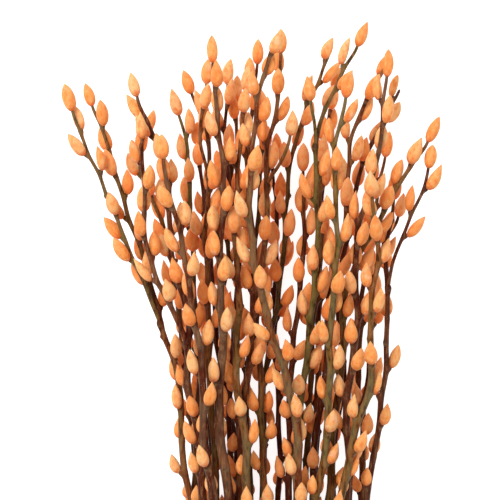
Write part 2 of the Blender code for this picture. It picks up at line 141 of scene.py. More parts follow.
# How near the stems lie to each other, edge to edge: tight in the band, wide where catkins grow
SPACING_AT = ((40, 0.22), (120, 2.6), (316, 7.6), (479, 8.4), (640, 8.4))
STATION_STEP = 12.5
STATIONS = np.arange(-90, 660, STATION_STEP)
STARTS_TO_SPREAD_Y = 85
WAVE_SIZE = (0.5, 1.6)
WAVE_LENGTH = (75, 170)
WAVES_GROW_OVER = 110
PACK_STEPS = 900
PACK_PULL = 0.02
PACK_WIDTH = 0.2
PACK_HEIGHT = 26
LOWEST_ROW = 0.11
BEND_STEPS = 320
ACROSS_YIELD = 0.45
SMOOTHING = 0.42
HOLD = 0.012

# Catkins stand alternately, each two fifths of a turn on from the last
NODE_STEP = (13.8, 17.4)
NODE_STEP_LOW = 1.4  # how many times as far apart they are at the lowest level
LOWEST_CATKIN_Y = (185, 235)
BARE_CHANCE = 0.04
CATKIN_LENGTH_AT = ((316, 13.6), (440, 16.6), (600, 16.8))
CATKIN_LENGTH_SPREAD = 1.7
CATKIN_RADIUS = (3.9, 4.8)
CATKIN_WIDTH_AT = ((316, 0.91), (420, 1.0), (510, 1.0), (600, 0.88))  # shares of that along the bunch
CATKIN_INNER = 0.72  # the side that lies against the stem is flattened to this share of the radius
BELLY_AT = 0.4
SNUG_ROOM = 2.25  # how much of the inner side clears the wood without a lean
CATKIN_LEAN = (2, 13)  # degrees beyond the lean at which the belly clears the wood
CATKIN_OUTLINE = ((0.06, 0.66), (0.2, 0.94), (0.38, 1.0), (0.56, 0.91), (0.74, 0.67), (0.9, 0.33))
KNOB_OUT = 1.6
KNOB_UP = 1.8
KNOB_RADIUS = 1.4
CLEARANCE = 0.45

# The rubber band
BAND_TURNS = 3
BAND_STRAND = 3.4
BAND_GROOVE = 0.7
BAND_THICKNESS = 1.6
BAND_GAP = 0.3
BAND_FLOOR = BAND_GAP + BAND_THICKNESS
BAND_CORNERS = 180
BAND_ROUNDING = 0.55
BAND_SECTION_CORNERS = 16

# Fineness of the visible surfaces
BARK_SIDES = 14
BARK_STEP = 2.6
NODE_REACH = (6.0, 4.0)  # how far below and above a node the rings are closer
NODE_STEP_FINE = 0.7
CATKIN_SIDES = 14
CATKIN_RINGS = 13
CATKIN_RING_POWER = 0.92  # under 1, the rings lie closer towards the tip

# The bark. How each kind of node swells it: height, width round the stem, where along the stem the swelling
# rises, how steeply, and where it falls again, from below the node to above it
CATKIN_KNOB = (KNOB_OUT + 0.4, 1.2, (-3.8, 1.6), 2.2, (2.0, 2.9))
TWIG_COLLAR = (1.2, 2.4, (-6, 1), 1, (1.5, 4))
BARE_BUD = (0.75, 1.3, (-2.4, 0.1), 1, (0.5, 1.8))
NODE_RING = (0.22, 2.5)  # height of the faint ring round each node, and its reach along the stem
LEAF_SCAR = (0.9, 0.8, 1.1)  # how far it lies below the node, and its reach along and round the stem
FORK_INSET = 2  # how far above the fork a twig's bark starts, inside the stem
BARK_LUMPS = 5
LUMP_SIZE = (0.006, 0.018)
LUMP_LENGTH = (20, 60)
BARK_SEED = 100
BARK_TONES = (0.05, 0.2, 0.35, 0.5, 0.62, 0.8, 0.95)  # from purple brown to olive
TONE_WAVE = 0.16
TONE_WAVE_LENGTH = (60, 120)  # millimetres to a radian
STUB_OUTLINE = ((0.93, 0.25), (0.8, 0.7), (0.45, 1.1), (0.08, 1.25))  # share of the girth, and rise
STUB_DARKNESS = (0.2, 0.5, 0.9, 1, 1)
CUT_FADE_RINGS = 3  # the slant of the cut end is spread over this many rings
CUT_RINGS = (1, 0.93, 0.9, 0.6, 0.3, 0.12)  # shares of the girth, from the bark in to the pith
CUT_INSET = 0.05

# The wood's girth as a share of its solid's: slender low in the bunch, stout in its uppermost stems, less so
# in the head
GIRTH_LOW = 0.87
GIRTH_HIGH_AT = ((316, 1.34), (400, 1.27), (480, 1.15), (560, 1.04))
GIRTH_FROM_Y = (110, 260)

# The down. A catkin's radius along its length, as shares of its widest: full ones, and ones with a
# drawn-out tip
FULL_PROFILE = (
    (0.0, 0.36), (0.06, 0.58), (0.14, 0.77), (0.24, 0.90), (0.35, 0.97), (0.46, 1.0), (0.57, 0.97),
    (0.68, 0.88), (0.78, 0.73), (0.87, 0.52), (0.95, 0.27), (1.0, 0.05),
)
DRAWN_PROFILE = (
    (0.0, 0.38), (0.05, 0.62), (0.12, 0.82), (0.20, 0.94), (0.30, 1.0), (0.41, 0.98), (0.52, 0.88),
    (0.62, 0.73), (0.71, 0.55), (0.80, 0.36), (0.89, 0.19), (0.95, 0.10), (1.0, 0.03),
)
DRAWN_SHARE = (0.0, 0.65)
DRAWN_MORE_LOW = 0.3  # how much more drawn out they are at the lowest level
CATKIN_FLATNESS = (0.02, 0.08)
CATKIN_LOBES = ((2, 0.052), (3, 0.046), (5, 0.022))  # lobes round it, and their height as a share
LOBE_WIND = (-2.5, 2.5)
NOD_OUT = (-1.5, 0.5)
NOD_SIDE = (-0.8, 0.8)
PALENESS = (-1.6, 1.0)  # below nothing, a catkin has no pale patch
GRAIN_PLACES = (0, 50)

# How sheltered a stem is inside the bunch, where its bark and catkins are darkened with painted shade: rays
# go out across it, and each stem that one meets covers a share of the sky there
SHELTER_RAYS = 12
SHELTER_NEAR = 1
SHELTER_FAR = 60
SHELTER_EACH = 0.8
SHELTER_REACH = ((250, 0.5), (316, 2.0), (479, 4.0))
SHELTER_SHARE = ((100, 0.35), (290, 1.0))

# The photograph's frame: 500 pixels square, 0.65 mm to a pixel on the bunch
PIXEL = 0.65
PHOTO_SIZE = 500
PHOTO_MIDDLE_X = -16.25
PHOTO_MIDDLE_Y = 478.75
PHOTO_PLANE_Z = 60
CAMERA_DISTANCE = 1500
SENSOR = 36

# The stage, in metres and watts: each lamp's place, size, power and colour
LAMPS = {
    "key": ((-0.7, 1.15, 1.7), 1.0, 31.5, (1.0, 0.98, 0.95)),
    "fill": ((1.0, 0.1, 1.3), 1.2, 5, (0.97, 0.98, 1.0)),
}
SURROUND = 0.5
FLOOR_HALF = 6.0
FLOOR_BELOW = 0.0002
FLOOR_GLOW = 0.84


class Shoot:
    """A stem, or a twig on one, in millimetres. Its line is a row of (x, z) at the stations along y."""

    def __init__(self, name, end, depth, start_y, parent=None):
        self.name = name
        self.end_x, self.end_y = end
        self.depth = depth
        self.start_y = start_y
        self.parent = parent
        self.twig = None
        self.line = None
        self.nodes = []
        self.end_catkin = None
        self.stub_ended = name in STUB_ENDED

    def draw_waves(self, draw):
        """The waves of its growth, two across the bunch and two in depth: size, length and phase."""
        sizes = [(draw.uniform(*WAVE_SIZE), draw.uniform(*WAVE_LENGTH)) for _ in range(4)]
        self.waves = [(size, length, draw.uniform(0, math.tau)) for size, length in sizes]

    def waver(self):
        """How far its waves take it off its line at the stations, from nothing where they start."""
        start = self.start_y if self.parent else STARTS_TO_SPREAD_Y
        grown = np.clip((STATIONS - start) / WAVES_GROW_OVER, 0, 1)
        turns = math.tau * STATIONS
        rows = [size * grown * np.sin(turns / length + phase) for size, length, phase in self.waves]
        return np.stack([rows[0] + rows[1], rows[2] + rows[3]], 1)

    def radius(self, y):
        """The wood's radius, which tapers from the cut end to the tip."""
        share = min(1.0, max(0.0, (self.end_y - y) / (self.end_y - self.start_y)))
        return TIP_RADIUS + (self.start_radius - TIP_RADIUS) * share**TAPER

    def centre(self, y):
        """The line's point at height y, on a smooth curve through the stations."""
        place = (y - STATIONS[0]) / STATION_STEP
        i = min(max(int(place), 1), len(STATIONS) - 3)
        t = place - i
        before, here, after, beyond = self.line[i - 1 : i + 3]
        bend = (2 * before - 5 * here + 4 * after - beyond) * t * t
        bend += (3 * here - before - 3 * after + beyond) * t**3
        across, depth = here + 0.5 * ((after - before) * t + bend)
        return Vector((across, y, depth))

    def along(self, y):
        """The direction in which it grows."""
        return (self.centre(y + 1) - self.centre(y - 1)).normalized()

    def frame(self, y):
        """Two directions across the line, square to it and to each other."""
        along = self.along(y)
        across = Vector((1, 0, 0)) - along.x * along
        across.normalize()
        return across, along.cross(across)

    def side(self, y, number):
        """The outward direction of one of the five sides that catkins grow on."""
        across, upright = self.frame(y)
        angle = self.turn + number * math.tau / STEM_SIDES
        return math.cos(angle) * across + math.sin(angle) * upright

    def turn_side_to(self, direction, y, number):
        """Turns the shoot so that its side `number` faces the direction at y."""
        across, upright = self.frame(y)
        angle = math.atan2(direction.dot(upright), direction.dot(across))
        self.turn = angle - number * math.tau / STEM_SIDES


class Node:
    """A place on a shoot where a catkin or a twig grows, or a bare scar where a bud has dropped."""

    def __init__(self, shoot, y, side, twig=None):
        self.y = y
        self.side = side % STEM_SIDES
        self.out = shoot.side(y, side)
        self.twig = twig
        self.catkin = None


class Catkin:
    """A catkin: its base, the way it points, its length and widest radius, and its own random draws."""

    def __init__(self, base, along, seed):
        draw = random.Random(seed)
        self.base = base
        self.towards = along
        self.length = float(through(CATKIN_LENGTH_AT, base.y))
        self.length += draw.uniform(-CATKIN_LENGTH_SPREAD, CATKIN_LENGTH_SPREAD)
        self.radius = draw.uniform(*CATKIN_RADIUS) * float(through(CATKIN_WIDTH_AT, base.y))
        self.draw = draw

    def lean_out(self, out, degrees):
        """Leans it out of the stem until its belly clears the wood, and some degrees more."""
        snug = max(0.0, CATKIN_INNER * self.radius - SNUG_ROOM) / (BELLY_AT * self.length)
        lean = math.asin(snug) + math.radians(degrees)
        self.towards = self.towards * math.cos(lean) + out * math.sin(lean)

    def at(self, share):
        return self.base + self.towards * self.length * share

    def balls(self):
        """Balls that fill its outline, as rows of x, y, z and radius."""
        return np.array([(*self.at(place), self.radius * width) for place, width in CATKIN_OUTLINE])


def through(knots, at):
    """Values at the places `at` of a smooth curve through knots (place, value), level past both ends."""
    places, values = np.array(sorted(knots), float).T
    slopes = np.gradient(values, places)
    at = np.clip(at, places[0], places[-1])
    i = np.clip(np.searchsorted(places, at, side="right") - 1, 0, len(places) - 2)
    span = places[i + 1] - places[i]
    t = (at - places[i]) / span
    curve = (1 + 2 * t) * (1 - t) ** 2 * values[i] + t * t * (3 - 2 * t) * values[i + 1]
    return curve + span * (t * (1 - t) ** 2 * slopes[i] + t * t * (t - 1) * slopes[i + 1])


def height_of(depth, y):
    """The height of a stem's middle above the floor, from its depth in the bunch."""
    return HEAD_FLOOR + depth * float(through(DEPTH_AT, y))


def make_shoots(draw):
    """The stems and twigs of the tables, each with its own waves."""
    stems = []
    for number, (offsets, end, depth) in enumerate(STEMS, 1):
        stem = Shoot(f"stem_{number:02d}", end, depth, CUT_END_Y - draw.uniform(0, CUT_END_SCATTER))
        stem.offsets = offsets
        stem.start_radius = draw.uniform(*CUT_RADIUS)
        stem.turn = draw.uniform(0, math.tau)
        stem.draw_waves(draw)
        stems.append(stem)
    twigs = []
    for place, fork_y, way, end, depth in TWIGS:
        stem = stems[place]
        stem.twig = Shoot(stem.name + "_twig", end, depth, fork_y, stem)
        stem.twig.way = way
        stem.twig.start_radius = TWIG_SHARE * stem.radius(fork_y)
        stem.twig.draw_waves(draw)
        twigs.append(stem.twig)
    return stems, twigs


def pushes(points, reach):
    """How far each of the points (shoot, station, axis) is pushed by all those nearer than `reach`."""
    between = points[:, None] - points[None]
    distance = np.sqrt((between**2).sum(-1)) + 1e-6
    push = np.clip(reach - distance, 0, None) * 0.5 / distance
    return (push[..., None] * between).sum(1)


def pack_in_band(stems):
    """Where each stem passes through the band: (x, z), drawn together and pushed apart until they clear."""
    radii = np.array([s.start_radius for s in stems])
    reach = (radii[:, None] + radii + SPACING_AT[0][1]) * (1 - np.eye(len(stems)))
    floor = radii + BAND_FLOOR
    lowest = np.array([s.depth < LOWEST_ROW for s in stems])
    places = np.array([(PACK_WIDTH * s.offsets[0], f + PACK_HEIGHT * s.depth) for s, f in zip(stems, floor)])
    for step in range(PACK_STEPS):
        if step < PACK_STEPS * 2 / 3:
            places += PACK_PULL * (places.mean(0) - places)
        places += pushes(places[:, None], reach[..., None])[:, 0]
        places[:, 1] = np.where(lowest, floor, np.maximum(places[:, 1], floor))
    places[:, 0] -= places[lowest, 0].mean()
    return places


def draw_lines(stems, twigs):
    """Each shoot's line as the tables give it."""
    for stem, (band_x, band_z) in zip(stems, pack_in_band(stems)):
        straight = (STATIONS[0], 0, STRAIGHT_TO_Y, STRAIGHT_TO_Y + STATION_STEP)
        ways = [(y, x) for y, x in zip(LEVELS_Y, stem.offsets) if x is not None]
        across = [(y, band_x) for y in straight] + ways + [(stem.end_y, stem.end_x)]
        depth = [(y, band_z) for y in straight] + [(y, height_of(stem.depth, y)) for y in (*LEVELS_Y, TOP_Y)]
        stem.line = np.stack([through(across, STATIONS), through(depth, STATIONS)], 1) + stem.waver()
    for twig in twigs:
        root = twig.parent.centre(twig.start_y)
        across = [(twig.start_y, root.x)] + [(y, x) for x, y in twig.way] + [(twig.end_y, twig.end_x)]
        top = height_of(twig.depth, twig.end_y)
        halfway = ((twig.start_y + twig.end_y) / 2, (root.z + top) / 2)
        depth = [(twig.start_y, root.z), halfway, (twig.end_y, top)]
        twig.line = np.stack([through(across, STATIONS), through(depth, STATIONS)], 1) + twig.waver()
        below = STATIONS <= twig.start_y
        twig.line[below] = twig.parent.line[below]


def bend_clear(stems, twigs):
    """Bends the lines until no shoot touches another, as stems do that lie together in a bunch."""
    group = stems + twigs
    wanted = np.stack([s.line for s in group])
    radii = np.array([[s.radius(y) for y in STATIONS] for s in group])
    there = np.array([(STATIONS > s.start_y) & (STATIONS < s.end_y + STATION_STEP) for s in group])
    reach = (radii[:, None] + radii + through(SPACING_AT, STATIONS)) * (there[:, None] & there)
    for i in range(len(group)):
        reach[i, i] = 0
    for twig in twigs:
        i, j = group.index(twig), group.index(twig.parent)
        reach[i, j] = reach[j, i] = np.clip(1 + FORK_SLOPE * (STATIONS - twig.start_y), 0, reach[i, j])
    free = np.clip((STATIONS - STRAIGHT_TO_Y) / (STARTS_TO_SPREAD_Y - STRAIGHT_TO_Y), 0, 1)[None, :, None]
    floor = np.where(STATIONS > HEAD_FROM_Y, HEAD_FLOOR, 0)
    moved = np.zeros_like(wanted)
    for _ in range(BEND_STEPS):
        moved += pushes(wanted + moved, reach) * free * (ACROSS_YIELD, 1)
        padded = np.pad(moved, ((0, 0), (1, 1), (0, 0)), mode="edge")
        moved += SMOOTHING * free * ((padded[:, :-2] + padded[:, 2:]) / 2 - moved)
        moved *= 1 - HOLD
        for twig in twigs:
            below = STATIONS <= twig.start_y
            moved[group.index(twig), below] = moved[group.index(twig.parent), below]
        moved[..., 1] = np.maximum(moved[..., 1], floor - wanted[..., 1])
    for shoot, line in zip(group, wanted + moved):
        shoot.line = line


def set_forks(twigs):
    """Turns each forked stem's side 0 to its twig, and sets the fork as a node of the stem."""
    for twig in twigs:
        stem, y = twig.parent, twig.start_y + FORK_REACH
        out = twig.centre(y) - stem.centre(y)
        stem.turn_side_to(out, twig.start_y, 0)
        stem.nodes.append(Node(stem, twig.start_y, 0, twig))
        twig.turn_side_to(out, twig.start_y + FORK_RISE, -0.5)


def set_nodes(shoot, draw):
    """Nodes from the shoot's end down to its lowest one."""
    lowest = shoot.start_y + FORK_REACH if shoot.parent else draw.uniform(*LOWEST_CATKIN_Y)
    y = shoot.end_y - (STUB_LENGTH if shoot.stub_ended else draw.uniform(*NODE_STEP))
    side = draw.randrange(STEM_SIDES)
    while y > lowest:
        if not shoot.twig or abs(y - shoot.twig.start_y) > NODE_STEP[0] / 2:
            shoot.nodes.append(Node(shoot, y, side))
            side += 2
        down = min(1.0, max(0.0, (LEVELS_Y[2] - y) / (LEVELS_Y[2] - LEVELS_Y[0])))
        y -= draw.uniform(*NODE_STEP) * (1 + (NODE_STEP_LOW - 1) * down) * shoot.along(y).y
    shoot.nodes.sort(key=lambda node: -node.y)


def grow_catkins(group, draw):
    """Grows a catkin at each node, on its own side of the wood or on the nearest one that is free."""
    for shoot in group:
        set_nodes(shoot, draw)
        if not shoot.stub_ended:
            shoot.end_catkin = Catkin(shoot.centre(shoot.end_y), shoot.along(shoot.end_y - 2), draw.random())
    taken = np.vstack([s.end_catkin.balls() for s in group if s.end_catkin])
    places = [(node, shoot) for shoot in group for node in shoot.nodes if not node.twig]
    for node, shoot in sorted(places, key=lambda place: -place[0].y):
        bare = draw.random() < BARE_CHANCE
        degrees = draw.uniform(*CATKIN_LEAN)
        seed = draw.random()
        for turn in () if bare else (0, 1, -1, 2, -2):
            out, along = shoot.side(node.y, node.side + turn), shoot.along(node.y)
            root = shoot.centre(node.y) + out * (NODE_BULGE + shoot.radius(node.y))
            base = root + out * KNOB_OUT + along * KNOB_UP
            catkin = Catkin(base, along, seed)
            catkin.lean_out(out, degrees)
            if fits(catkin, shoot, group, taken):
                node.catkin, node.out, node.side = catkin, out, (node.side + turn) % STEM_SIDES
                taken = np.vstack([taken, catkin.balls(), (*base, KNOB_RADIUS)])
                break


def fits(catkin, shoot, group, taken):
    """True where it clears the surface, every other shoot's wood and every catkin that is there already."""
    balls = catkin.balls()
    if (balls[:, 2] - balls[:, 3]).min() < 0:
        return False
    near = taken[np.abs(taken[:, 1] - catkin.base.y) < 2 * catkin.length]
    distance = np.sqrt(((balls[:, None, :3] - near[None, :, :3]) ** 2).sum(-1))
    if (distance < balls[:, None, 3] + near[None, :, 3] + CLEARANCE).any():
        return False
    for other in group:
        if other is shoot:
            continue
        for x, y, z, radius in balls:
            if other.start_y - 2 < y < other.end_y + 2:
                offset, along = Vector((x, y, z)) - other.centre(y), other.along(y)
                clear = (offset - offset.dot(along) * along).length
                if clear < radius + other.radius(y) + NODE_BULGE + CLEARANCE:
                    return False
    return True


def grow_bunch():
    """All stems and twigs, with their lines, nodes and catkins."""
    draw = random.Random(GROWTH_SEED)
    stems, twigs = make_shoots(draw)
    draw_lines(stems, twigs)
    bend_clear(stems, twigs)
    set_forks(twigs)
    grow_catkins(stems + twigs, draw)
    return stems


# Meshes


class Surface:
    """Collects rings of points into one mesh, with numbers at its points that its material reads."""

    def __init__(self, names):
        self.points = []
        self.faces = []
        self.slots = []
        self.marks = {name: [] for name in names}
        self.count = 0

    def add_rings(self, rings, marks, slot=0):
        """Joins rings of equally many points (rings, sides, 3) by quads. Returns the first and last ring."""
        rows, sides = rings.shape[:2]
        index = self.count + np.arange(rows * sides).reshape(rows, sides)
        turned = np.roll(index, -1, 1)
        quads = np.stack([index[:-1], turned[:-1], turned[1:], index[1:]], -1).reshape(-1, 4)
        self.points.append(rings.reshape(-1, 3))
        self.faces += quads.tolist()
        self.slots += [slot] * len(quads)
        for name, values in self.marks.items():
            values.append(np.broadcast_to(marks.get(name, 0.0), (rows, sides)).reshape(-1))
        self.count += rows * sides
        return index[0].tolist(), index[-1].tolist()

    def close(self, ring, upward):
        """Closes an end of a tube with one face."""
        self.faces.append(ring if upward else ring[::-1])
        self.slots.append(0)

    def build(self, name, materials):
        """Makes the piece: one mesh object, smooth, with its marks and materials."""
        mesh = bpy.data.meshes.new(name)
        mesh.from_pydata(np.concatenate(self.points) * MM, [], self.faces)
        mesh.polygons.foreach_set("material_index", self.slots)
        mesh.polygons.foreach_set("use_smooth", [True] * len(self.faces))
        for mark, values in self.marks.items():
            mesh.attributes.new(mark, "FLOAT", "POINT").data.foreach_set("value", np.concatenate(values))
        for material in materials:
            mesh.materials.append(material)
        mesh.update()
        piece = bpy.data.objects.new(name, mesh)
        bpy.context.scene.collection.objects.link(piece)
        return piece


def set_shelter(group):
    """How sheltered each shoot is, for its painted shade: the share of the sky above it that the others
    cover.
    """
    lines = np.stack([s.line for s in group])
    there = np.array([(STATIONS > s.start_y) & (STATIONS < s.end_y) for s in group])
    reach = np.array([[s.radius(y) for y in STATIONS] for s in group]) + through(SHELTER_REACH, STATIONS)
    away = lines[None] - lines[:, None]
    covered = np.zeros(lines.shape[:2])
    angles = (np.arange(SHELTER_RAYS) + 0.5) * math.pi / SHELTER_RAYS
    for across, up in zip(np.cos(angles), np.sin(angles)):
        ahead, beside = away @ (across, up), np.abs(away @ (-up, across))
        hits = (ahead > SHELTER_NEAR) & (ahead < SHELTER_FAR) & (beside < reach) & there
        covered += up * (1 - np.exp(-SHELTER_EACH * hits.sum(1)))
    covered /= np.sin(angles).sum()
    for shoot, row in zip(group, covered):
        shoot.shelter = row * through(SHELTER_SHARE, STATIONS)


def smooth_step(low, high, value):
    """From 0 at low to 1 at high, without a corner."""
    t = np.clip((value - low) / (high - low), 0, 1)
    return t * t * (3 - 2 * t)


def bark_places(shoot):
    """Where the bark's rings are: every few millimetres, and closer round the nodes."""
    start = shoot.start_y + (FORK_INSET if shoot.parent else 0)
    places = np.arange(start, shoot.end_y - 0.5, BARK_STEP).tolist() + [shoot.end_y]
    for node in shoot.nodes:
        low, high = node.y - NODE_REACH[0], min(node.y + NODE_REACH[1], shoot.end_y)
        places = [y for y in places if not low < y < high]
        places += np.arange(low, high - 0.3, NODE_STEP_FINE).tolist()
    return sorted(places)


def bark_middle(shoot, y):
    """The middle of the wood at y: its line, swung towards the buds, and back onto its line at the tip."""
    swings = [(node.y, np.array(node.out)) for node in shoot.nodes] + [(shoot.end_y, np.zeros(3))]
    swings += [(min(s[0] for s in swings) - NODE_STEP[1], np.zeros(3))]
    swings.sort(key=lambda s: s[0])
    heights = [s[0] for s in swings]
    swing = np.array([np.interp(y, heights, [s[1][axis] for s in swings]) for axis in range(3)])
    return np.array(shoot.centre(y)) + NODE_BULGE * swing


def girth(shoot, y):
    """How thick the wood is at y, as a share of its solid."""
    depth = (shoot.parent or shoot).depth
    full = GIRTH_LOW + (float(through(GIRTH_HIGH_AT, y)) - GIRTH_LOW) * depth
    return 1 + (full - 1) * float(smooth_step(*GIRTH_FROM_Y, y))


def bark_ring(shoot, y, angles):
    """The radius round the stem at y, and how much of it is knob or scar."""
    radius = np.full(len(angles), shoot.radius(y) * girth(shoot, y))
    knob = np.zeros(len(angles))
    scar = np.zeros(len(angles))
    across, upright = shoot.frame(y)
    ring_height, ring_reach = NODE_RING
    scar_below, scar_along, scar_round = LEAF_SCAR
    for node in shoot.nodes:
        up = y - node.y
        if not -NODE_REACH[0] < up < NODE_REACH[1]:
            continue
        out = math.atan2(node.out.dot(upright), node.out.dot(across))
        away = np.abs((angles - out + math.pi) % math.tau - math.pi) * shoot.radius(y)
        swelling = CATKIN_KNOB if node.catkin else TWIG_COLLAR if node.twig else BARE_BUD
        height, width, rise, steepness, fall = swelling
        lift = smooth_step(*rise, up) ** steepness * (1 - smooth_step(*fall, up))
        shape = np.exp(-((away / width) ** 2)) * lift
        radius += height * shape + ring_height * math.exp(-((up / ring_reach) ** 2))
        knob += shape
        scar += np.exp(-((away / scar_round) ** 2)) * math.exp(-(((up + scar_below) / scar_along) ** 2))
    return radius, knob, scar


def add_bark(surface, shoot, tone, draw):
    """The wood of a shoot, as a round tube with knobs, from its cut end or fork to its tip."""
    angles = np.arange(BARK_SIDES) * math.tau / BARK_SIDES
    places = bark_places(shoot)
    rings, knobs, scars = [], [], []
    lumps = [
        (draw.uniform(*LUMP_SIZE), draw.uniform(0, math.tau), draw.uniform(*LUMP_LENGTH))
        for _ in range(BARK_LUMPS)
    ]
    for y in places:
        radius, knob, scar = bark_ring(shoot, y, angles)
        turns = y * math.tau
        radius *= 1 + sum(size * np.sin(angles + turn + turns / length) for size, turn, length in lumps)
        across, upright = map(np.array, shoot.frame(y))
        out = np.cos(angles)[:, None] * across + np.sin(angles)[:, None] * upright
        rings.append(bark_middle(shoot, y) + radius[:, None] * out)
        knobs.append(knob)
        scars.append(scar)
    rings = np.array(rings)
    if not shoot.parent:
        fade = 1 - np.arange(CUT_FADE_RINGS) / CUT_FADE_RINGS
        rings[:CUT_FADE_RINGS, :, 1] += fade[:, None] * CUT_SLANT / 2 * np.sin(angles - shoot.turn)
    waves = np.sin(np.array(places) / draw.uniform(*TONE_WAVE_LENGTH) + draw.uniform(0, 6))
    tones = tone + TONE_WAVE * waves[:, None]
    # Painted shade: how much darker the bark is painted where the stem lies deep in the bunch
    shelter = np.interp(places, STATIONS, shoot.shelter)[:, None]
    marks = {"tone": tones, "knob": np.array(knobs), "scar": np.array(scars), "shelter": shelter}
    first = surface.add_rings(rings, marks)[0]
    if shoot.stub_ended:
        end_stub(surface, rings[-1], shoot, tones[-1, 0])
    return first, rings[0]


def end_stub(surface, ring, shoot, tone):
    """A dry, drawn-in end on a shoot that has no catkin at its tip."""
    middle, along = ring.mean(0), np.array(shoot.along(shoot.end_y - 2))
    rings = [ring] + [middle + (ring - middle) * share + along * rise for share, rise in STUB_OUTLINE]
    marks = {"tone": np.full((len(rings), 1), tone), "knob": np.array(STUB_DARKNESS)[:, None]}
    surface.close(surface.add_rings(np.array(rings), marks)[1], True)


def add_cut_face(surface, ring):
    """The pale cut end: rings of wood from the bark in to the pith, in the second material."""
    middle = ring.mean(0)
    shares = np.array(CUT_RINGS)[:, None, None]
    rings = middle + (ring - middle) * shares
    rings[1:, :, 1] += CUT_INSET
    inner = surface.add_rings(rings[:, ::-1], {"depth": shares[:, :, 0]}, 1)[1]
    surface.faces.append(inner)
    surface.slots.append(1)


def add_catkin(surface, catkin, away, shelter, inner=0.0):
    """One catkin. `away` is the direction out of the stem, and `inner` how much it is flattened to it."""
    draw = catkin.draw
    towards = np.array(catkin.towards)
    out = np.array(away) - np.dot(away, towards) * towards
    out /= np.linalg.norm(out)
    side = np.cross(towards, out)
    places = np.linspace(0, 1, CATKIN_RINGS)[:, None] ** CATKIN_RING_POWER
    up = (catkin.base.y - LEVELS_Y[0]) / (LEVELS_Y[-1] - LEVELS_Y[0])
    drawn = min(1.0, max(0.0, draw.uniform(*DRAWN_SHARE) + DRAWN_MORE_LOW * (1 - up)))
    shape = drawn * through(DRAWN_PROFILE, places) + (1 - drawn) * through(FULL_PROFILE, places)
    angles = np.arange(CATKIN_SIDES) * math.tau / CATKIN_SIDES
    cosines, sines = np.cos(angles), np.sin(angles)
    section = 1 - draw.uniform(*CATKIN_FLATNESS) * cosines**2 - inner * np.clip(-cosines, 0, 1) ** 2
    for lobes, size in CATKIN_LOBES:
        turn, wind = draw.uniform(0, math.tau), draw.uniform(*LOBE_WIND)
        section = section + size * np.sin(lobes * angles + turn + wind * places)
    nod_out, nod_side = draw.uniform(*NOD_OUT), draw.uniform(*NOD_SIDE)
    bend = places**3 * (nod_out * out + nod_side * side)
    middle = np.array(catkin.base) + places * catkin.length * towards + bend
    round_axis = cosines[:, None] * out + sines[:, None] * side
    rings = middle[:, None] + (shape * catkin.radius * section)[..., None] * round_axis
    grain = draw.uniform(*GRAIN_PLACES)
    marks = {
        "along": places,
        "hue": draw.random(),
        # painted shade: how much darker the catkin is painted deep in the bunch
        "shelter": shelter,
        "pale": max(0.0, draw.uniform(*PALENESS)),
        "grain_x": cosines + grain,
        "grain_y": sines,
    }
    base, tip = surface.add_rings(rings, marks)
    surface.close(tip, True)
    surface.close(base, False)


def build_bark(stem, number, materials):
    """The wood of a stem and its twig, in one piece."""
    draw = random.Random(BARK_SEED + number)
    surface = Surface(("tone", "knob", "scar", "depth", "shelter"))
    tone = draw.choice(BARK_TONES)
    add_cut_face(surface, add_bark(surface, stem, tone, draw)[1])
    if stem.twig:
        surface.close(add_bark(surface, stem.twig, tone, draw)[0], False)
    return surface.build(stem.name + "_bark", materials)


def build_catkins(stem, material):
    """All the catkins of a stem and its twig, in one piece."""
    surface = Surface(("along", "hue", "pale", "grain_x", "grain_y", "shelter"))
    # Each catkin takes its painted shade from how sheltered its shoot is where it grows
    for shoot in (stem, stem.twig) if stem.twig else (stem,):
        if shoot.end_catkin:
            shelter = np.interp(shoot.end_y, STATIONS, shoot.shelter)
            add_catkin(surface, shoot.end_catkin, shoot.side(shoot.end_y, 0), shelter)
        for node in shoot.nodes:
            if node.catkin:
                shelter = np.interp(node.y, STATIONS, shoot.shelter)
                add_catkin(surface, node.catkin, node.out, shelter, 1 - CATKIN_INNER)
    return surface.build(stem.name + "_catkins", (material,))


def outline(stems, out):
    """The loop (x, z) that runs round all the stems in the band, at a distance from them."""
    loop = []
    for k in range(BAND_CORNERS):
        angle = k * math.tau / BAND_CORNERS
        direction = np.array((math.cos(angle), math.sin(angle)))
        stem = max(stems, key=lambda s: s.line[0] @ direction + s.start_radius)
        loop.append(stem.line[0] + (stem.start_radius + out) * direction)
    return np.array(loop)


def build_band(stems, material):
    """Three turns side by side, each with rounded edges."""
    surface = Surface(())
    width = BAND_TURNS * BAND_STRAND + (BAND_TURNS - 1) * BAND_GROOVE
    middle_out = BAND_GAP + BAND_THICKNESS / 2
    half_y, half_out = BAND_STRAND / 2 - BAND_ROUNDING, BAND_THICKNESS / 2 - BAND_ROUNDING
    section = []
    for k in range(BAND_SECTION_CORNERS):
        angle = (k + 0.5) * math.tau / BAND_SECTION_CORNERS
        across, outward = math.cos(angle), math.sin(angle)
        along = math.copysign(half_y, across) + BAND_ROUNDING * across
        section.append((along, math.copysign(half_out, outward) + BAND_ROUNDING * outward))
    for turn in range(BAND_TURNS):
        y = -width / 2 + BAND_STRAND / 2 + turn * (BAND_STRAND + BAND_GROOVE)
        loops = []
        for along, outward in section:
            loop = outline(stems, min(middle_out + outward, BAND_FLOOR))
            loops.append(np.stack([loop[:, 0], np.full(BAND_CORNERS, y + along), loop[:, 1]], 1))
        surface.add_rings(np.array(loops + loops[:1]), {})
    return surface.build("rubber_band_turns", (material,))


# Materials

